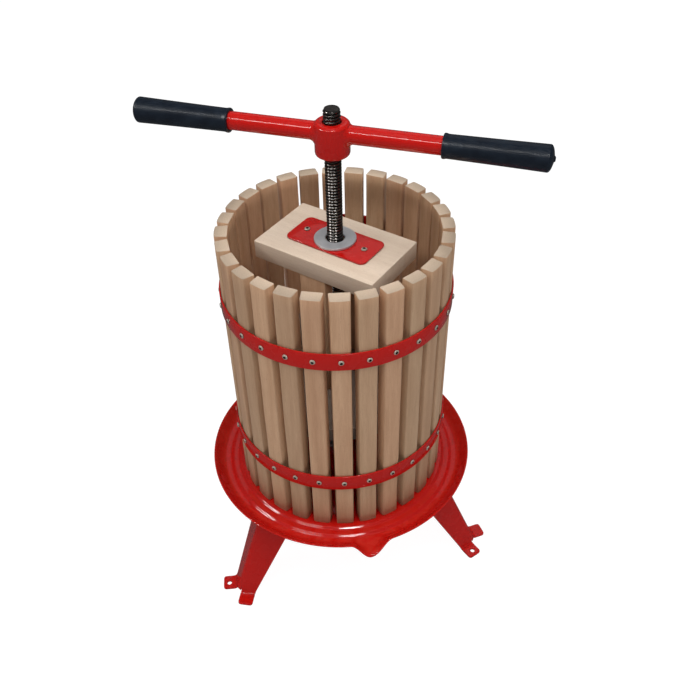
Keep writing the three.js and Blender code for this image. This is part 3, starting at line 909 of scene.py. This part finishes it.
def screw_head(name, radius, height, place, shank):
    """Pan head with a cross recess; z = 0 is its seat."""
    profile = [(shank, -2.5 * MM), (shank, 0), (radius * 0.96, 0)]
    dome = smooth_line([
        (radius, 0.12 * height), (radius * 0.97, 0.45 * height), (radius * 0.8, 0.8 * height),
        (radius * 0.45, 0.97 * height), (radius * 0.03, height),
    ], 4)
    head = spun(name, profile + dome, 32, place)
    tool = cross_recess(radius, 0.85 * height, place @ Matrix.Translation((0, 0, height)))
    combined(head, tool, "DIFFERENCE")
    back = place.inverted()
    head.data.materials.append(SCREW)
    head.data.materials.append(PAINTED_SHADE)
    # Faces in the cross recess get the near-black material as painted shade, and the foot of the
    # head's rim gets it as a painted contact shadow.
    for face in head.data.polygons:
        spot = back @ face.center
        reach = math.hypot(spot.x, spot.y)
        recess_shaded = 0.05 * height < spot.z < 0.8 * height and reach < 0.76 * radius
        edge = spot.z < 0.3 * height and reach > 0.9 * radius
        face.material_index = 1 if recess_shaded or edge else 0
    return head


def make_band_screws(node, height, radius):
    """One pan-head screw in the middle of each stave, each turned its own way."""
    template = screw_head("screw_template", 3.5 * MM, 2.0 * MM, Matrix.Identity(4), 1.4 * MM)
    screws = []
    rng = random.Random(5 if "lower" in node else 6)
    for i in range(STAVE_COUNT):
        azimuth = FIRST_STAVE + TURN * i / STAVE_COUNT
        out = Matrix.Rotation(azimuth, 4, "Z") @ Matrix.Translation((radius, 0, height))
        tip = Matrix.Rotation(math.pi / 2, 4, "Y") @ Matrix.Rotation(rng.uniform(0, TURN), 4, "Z")
        screw = template.copy()
        screw.data = template.data.copy()
        screw.data.transform(UPRIGHT @ out @ tip)
        screws.append(screw)
    bpy.data.objects.remove(template)
    dress(merged(node + "_screws", screws), "basket", None, "zinc")


for stave_number in range(1, STAVE_COUNT + 1):
    make_stave(stave_number)
for band_node in ("band_lower", "band_upper"):
    band_centre, band_radius = make_band(band_node)
    make_band_screws(band_node, band_centre, band_radius)

# ------------------------------------------------------------------ press wood

STACK = turned(BLOCK_TURN)
BLOCK_LENGTH = 172.5 * MM
BLOCK_WIDTH = 104.5 * MM
WOOD_BORE = 13 * MM
PLATE_LENGTH = 116 * MM
PLATE_WIDTH = 54 * MM
PLATE_CORNER = 8.5 * MM
PLATE_SCREW = 42.25 * MM


def make_block():
    low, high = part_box("press_block")
    outline = rounded_outline(BLOCK_LENGTH, BLOCK_WIDTH, 0.8 * MM, 3)
    block = prism("press_block_beech", outline, low.z, high.z, STACK)
    bored(block, WOOD_BORE, low.z - 5 * MM, high.z + 5 * MM, STACK)
    eased(block, 0.5 * MM, 2, 50)
    mark_grain(block, STACK, "X", 11, 1.0, 0.1)
    dress(block, "press_stack", BLOCK_WOOD, "beech", "press_block")


def make_spacer(node, side):
    low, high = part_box(node)
    middle = Matrix.Translation((0, side * (BLOCK_WIDTH / 2 - 8.75 * MM), 0))
    outline = rounded_outline(38 * MM, 16 * MM, 1.6 * MM, 3)
    post = prism(node + "_beech", outline, low.z, high.z, STACK @ middle)
    eased(post, 0.7 * MM, 2, 50)
    mark_grain(post, STACK, "Z", 21 + side, 0.95, 0.5)
    dress(post, "press_stack", STAVE_WOOD, "beech", node)


def make_board(node, side):
    """Half-moon board, half a gap short of the middle, with a half-round notch for the spindle."""
    low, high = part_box(node)
    radius, notch, split = 127.5 * MM, 19 * MM, 1 * MM
    start = math.degrees(math.asin(split / radius))
    inner = math.degrees(math.asin(split / notch))
    outline = arc(0, 0, radius, start, 180 - start, 96) + arc(0, 0, notch, 180 - inner, inner, 32)
    place = STACK @ Matrix.Rotation(0 if side > 0 else math.pi, 4, "Z")
    board = prism(node + "_beech", outline, low.z, high.z, place)
    eased(board, 1.2 * MM, 3, 50)
    # Shade 0.25 darkens the boards: painted shade for the dim inside of the basket around them.
    mark_grain(board, place, "X", 31 + side, 0.25, 1.0)
    dress(board, "press_stack", BLOCK_WOOD, "beech", node)


def make_wear_plate():
    """Painted plate on the press block, the thrust washer on it and its two screws."""
    low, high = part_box("wear_plate")
    outline = rounded_outline(PLATE_LENGTH, PLATE_WIDTH, PLATE_CORNER, 10)
    plate = prism("wear_plate_painted", outline, low.z, high.z, STACK)
    bored(plate, WOOD_BORE, low.z - 5 * MM, high.z + 5 * MM, STACK)
    eased(plate, 0.7 * MM, 3, 50)
    dress(plate, "press_stack", RED, "red_paint", "wear_plate")
    low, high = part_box("thrust_washer")
    edge = 0.35 * MM
    bore, rim = 12.15 * MM, 26.25 * MM
    washer = spun("thrust_washer_zinc", [
        (bore, low.z + edge), (bore + edge, low.z), (rim - edge, low.z), (rim, low.z + edge),
        (rim, high.z - edge), (rim - edge, high.z), (bore + edge, high.z), (bore, high.z - edge),
    ], 96, closed=True)
    dress(washer, "press_stack", WASHER, "zinc", "thrust_washer")
    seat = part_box("wear_plate")[1].z
    for node, side, spin in (("plate_screw_left", -1, 0.4), ("plate_screw_right", 1, 1.1)):
        spot = Matrix.Translation((side * PLATE_SCREW, 0, seat)) @ Matrix.Rotation(spin, 4, "Z")
        screw = screw_head(node + "_pan", 3.8 * MM, 2.3 * MM, STACK @ spot, 1.8 * MM)
        dress(screw, "press_stack", None, "zinc", node)


make_block()
for spacer_node, spacer_side in (("spacer_front", -1), ("spacer_rear", 1)):
    make_spacer(spacer_node, spacer_side)
for board_node, board_side in (("half_moon_front", -1), ("half_moon_rear", 1)):
    make_board(board_node, board_side)
make_wear_plate()

# ------------------------------------------------------------------ handle

HANDLE = turned(HANDLE_TURN)
HUB_RADIUS = 20.5 * MM
ARM_HEIGHT = 682 * MM
ARM_RADIUS = 10.65 * MM
ARM_BORE = 8.3 * MM
ARM_START = 19 * MM
ARM_END = 241 * MM
WELD_ROOF = 692.6 * MM - ARM_HEIGHT
GRIP_START = 126 * MM
GRIP_END = 247 * MM
GRIP_BORE = 10.75 * MM


def make_hub():
    """Turned hub with eased ends, a lip round the spindle and a pocket for the bush."""
    low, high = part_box("handle_hub")
    bottom, top = low.z, high.z
    outer = smooth_line([
        (HUB_RADIUS - 5 * MM, bottom), (HUB_RADIUS - 2.4 * MM, bottom + 0.4 * MM),
        (HUB_RADIUS - 0.6 * MM, bottom + 1.7 * MM), (HUB_RADIUS, bottom + 4 * MM),
    ], 5)
    shoulder = smooth_line([
        (HUB_RADIUS, top - 3.4 * MM), (HUB_RADIUS - 0.35 * MM, top - 2.3 * MM),
        (HUB_RADIUS - 2.2 * MM, top - 0.45 * MM), (HUB_RADIUS - 3.4 * MM, top),
    ], 5)
    lip = 10.9 * MM
    bush = 14.8 * MM
    ledge = top - 6.4 * MM
    profile = outer + shoulder + [
        (lip + 0.8 * MM, top), (lip + 0.2 * MM, top - 0.3 * MM), (lip, top - 0.9 * MM),
        (lip, ledge), (bush, ledge), (bush, bottom + 0.4 * MM), (bush + 0.4 * MM, bottom),
    ]
    hub = spun("handle_hub_turned", profile, 128, HANDLE, closed=True, sharp=50)
    dress(hub, "handle", RED, "red_paint", "handle_hub")


def make_bush():
    low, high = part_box("threaded_bush")
    bore, outer = 10.3 * MM, 14.5 * MM
    bush = spun("threaded_bush_turned", [
        (bore, low.z + 0.5 * MM), (bore + 0.5 * MM, low.z), (outer - 0.4 * MM, low.z),
        (outer, low.z + 0.4 * MM), (outer, high.z), (bore, high.z),
    ], 64, closed=True)
    dress(bush, "bush", ZINC, "zinc", "threaded_bush")


def along_x(place):
    """Turns bodies spun about Z so that they lie along the arm."""
    return place @ Matrix.Translation((0, 0, ARM_HEIGHT)) @ Matrix.Rotation(math.pi / 2, 4, "Y")


def make_arm(side, place, shorter):
    end = ARM_END - shorter
    arm = spun(f"handle_arm_{side}_tube", [
        (ARM_BORE, ARM_START), (ARM_RADIUS, ARM_START), (ARM_RADIUS, end - 0.5 * MM),
        (ARM_RADIUS - 0.5 * MM, end), (ARM_BORE, end),
    ], 96, along_x(place), closed=True)
    dress(arm, "handle", RED, "red_paint", f"handle_arm_{side}")
    make_weld(side, place)


def on_hub(radius, across, rise, sink=0.0):
    """Point of the hub's side at a radius about the arm's axis, no higher than its shoulder."""
    y = radius * across
    x = math.sqrt(max((HUB_RADIUS - sink) ** 2 - y * y, 0))
    return Vector((x, y, min(radius * rise, WELD_ROOF)))


def make_weld(side, place):
    """Painted weld fillet between arm and hub, flatter on top, where the hub's shoulder ends it."""
    around = 96
    rings = []
    for j in range(around):
        angle = TURN * j / around
        across, rise = math.sin(angle), math.cos(angle)
        ripple = 0.35 * MM * noise.noise(Vector((across * 3, rise * 3, 2.5)))
        leg = (5.2 - 1.6 * max(rise, 0)) * MM + ripple
        corner = on_hub(ARM_RADIUS, across, rise)
        spread = on_hub(ARM_RADIUS + leg, across, rise, 0.15 * MM)
        skim, root = ARM_RADIUS - 0.1 * MM, ARM_RADIUS - 1 * MM
        along = Vector((corner.x + leg, skim * across, skim * rise))
        control = corner + (spread - corner) * 0.18 + (along - corner) * 0.18
        ring = []
        for k in range(9):
            t = k / 8
            ring.append(spread * (1 - t) ** 2 + control * 2 * t * (1 - t) + along * t * t)
        ring.append(Vector((corner.x - 1.5 * MM, root * across, root * rise)))
        rings.append([p + Vector((0, 0, ARM_HEIGHT)) for p in ring])
    weld = skin(f"handle_weld_{side}", rings, place, capped=False, sharp=70)
    dress(weld, "handle", RED, "red_paint")


def make_grip(side, place, shorter):
    """Moulded sleeve with a thin lip, wider towards its domed end, which has a small nub."""
    start, end = GRIP_START - shorter, GRIP_END - shorter
    body = smooth_line([
        (13.4 * MM, start + 5.4 * MM), (14.1 * MM, start + 60 * MM), (15.0 * MM, end - 7.5 * MM),
    ], 10)
    dome = smooth_line([
        (15.0 * MM, end - 7.5 * MM), (14.8 * MM, end - 6.3 * MM), (13.4 * MM, end - 4.7 * MM),
        (10.5 * MM, end - 3.2 * MM), (6.5 * MM, end - 2.1 * MM), (3.4 * MM, end - 1.4 * MM),
    ], 5)
    lip = smooth_line([
        (13.2 * MM, start), (13.9 * MM, start + 0.5 * MM), (14.15 * MM, start + 1.8 * MM),
        (13.85 * MM, start + 3.4 * MM), (13.4 * MM, start + 5.4 * MM),
    ], 4)
    nub = smooth_line([
        (3.2 * MM, end - 1.25 * MM), (2.9 * MM, end - 0.5 * MM), (1.8 * MM, end - 0.05 * MM),
        (0.2 * MM, end),
    ], 4)
    inside = [
        (0.2 * MM, end - 5 * MM), (GRIP_BORE, end - 5 * MM), (GRIP_BORE, start), (12.6 * MM, start),
    ]
    profile = inside + lip + body + dome + nub
    grip = spun(f"handle_grip_{side}_moulded", profile, 96, along_x(place), sharp=50)
    dress(grip, "handle", RUBBER, "grip_rubber", f"handle_grip_{side}")


make_hub()
make_bush()
for half_side, half_turn, half_shorter in (("right", 0, 0), ("left", math.pi, 4 * MM)):
    half = HANDLE @ Matrix.Rotation(half_turn, 4, "Z")
    make_arm(half_side, half, half_shorter)
    make_grip(half_side, half, half_shorter)

# ------------------------------------------------------------------ stage and light

FLOOR_HALF = 9.0
DOME_RADIUS = 8.5
FLOOR_GLOW = 0.97
WORLD_GLOW = 0.08
LIGHT_TARGET = 0.45


def make_floor():
    """Pale floor that glows evenly, so that it stays nearly white under the press's soft shadow."""
    g = Graph("pale_floor")
    cloud = g.noise(g.place(), 3)
    g.feed("Base Color", g.mix(cloud, (0.10, 0.10, 0.10, 1), (0.12, 0.12, 0.12, 1)))
    g.set(Roughness=0.9, Specular_IOR_Level=0.0, Emission_Color=WHITE, Emission_Strength=FLOOR_GLOW)
    half = FLOOR_HALF
    corners = [(-half, -half, 0), (half, -half, 0), (half, half, 0), (-half, half, 0)]
    floor = piece("floor", corners, [(0, 1, 2, 3)])
    floor.data.materials.append(g.material)
    floor.visible_glossy = False


def make_light(name, azimuth, elevation, distance, size, power):
    """Oval area light aimed at the press; azimuth runs from the camera's side to its right."""
    target = AXIS + Vector((0, 0, LIGHT_TARGET))
    heading = CAMERA_AZIMUTH + math.radians(azimuth)
    rise = math.radians(elevation)
    away = Vector((
        math.sin(heading) * math.cos(rise), -math.cos(heading) * math.cos(rise), math.sin(rise),
    ))
    data = bpy.data.lights.new(name, "AREA")
    data.shape = "ELLIPSE"
    data.size, data.size_y = size
    data.energy = power
    light = bpy.data.objects.new(name, data)
    light.location = target + away * distance
    light.rotation_euler = away.to_track_quat("Z", "Y").to_euler()
    light.visible_camera = False
    bpy.context.scene.collection.objects.link(light)
    return light


def make_strip(name, start, end, width, power):
    """Long area light between two points, aimed at the handle."""
    start, end = AXIS + Vector(start), AXIS + Vector(end)
    middle = (start + end) / 2
    along = (end - start).normalized()
    across = (middle - AXIS - Vector((0, 0, ARM_HEIGHT))).cross(along).normalized()
    data = bpy.data.lights.new(name, "AREA")
    data.shape = "RECTANGLE"
    data.size = (end - start).length
    data.size_y = width
    data.energy = power
    light = bpy.data.objects.new(name, data)
    turn = Matrix((along, across, along.cross(across))).transposed().to_4x4()
    light.matrix_world = Matrix.Translation(middle) @ turn
    light.visible_camera = False
    bpy.context.scene.collection.objects.link(light)


def make_world():
    """Faint white light from all round, and colours shown as they are."""
    world = bpy.data.worlds.new("studio")
    world.use_nodes = True
    background = world.node_tree.nodes["Background"]
    background.inputs["Color"].default_value = WHITE
    background.inputs["Strength"].default_value = WORLD_GLOW
    bpy.context.scene.world = world
    bpy.context.scene.view_settings.view_transform = "Standard"


def make_backdrop():
    """White dome round the stage that only shows behind it and gives no light."""
    g = Graph("white_backdrop")
    g.set(Roughness=1.0, Specular_IOR_Level=0.0, Base_Color=BLACK)
    g.set(Emission_Color=WHITE, Emission_Strength=1.0)
    dome = spun("backdrop", arc(0, 0, DOME_RADIUS, -10, 89, 24), 64, Matrix.Identity(4))
    dome.data.materials.append(g.material)
    dome.visible_diffuse = False
    dome.visible_glossy = False
    dome.visible_transmission = False
    dome.visible_shadow = False


make_floor()
make_backdrop()
make_world()
make_light("softbox_above", 0, 82, 4.0, (3.2, 3.2), 148).visible_glossy = False
make_light("fill_right", 75, 58, 3.6, (1.8, 1.8), 26).visible_glossy = False
make_light("back_panel", 172, 47, 4.0, (2.6, 2.6), 3.4)
make_light("key_left", -79, 37, 3.6, (1.2, 0.15), 22)
make_light("key_camera", 9, 49, 3.6, (1.2, 0.16), 17)
make_strip("strip_left", (-1.95, -0.90, 2.81), (-1.10, -1.51, 2.97), 0.11, 8)
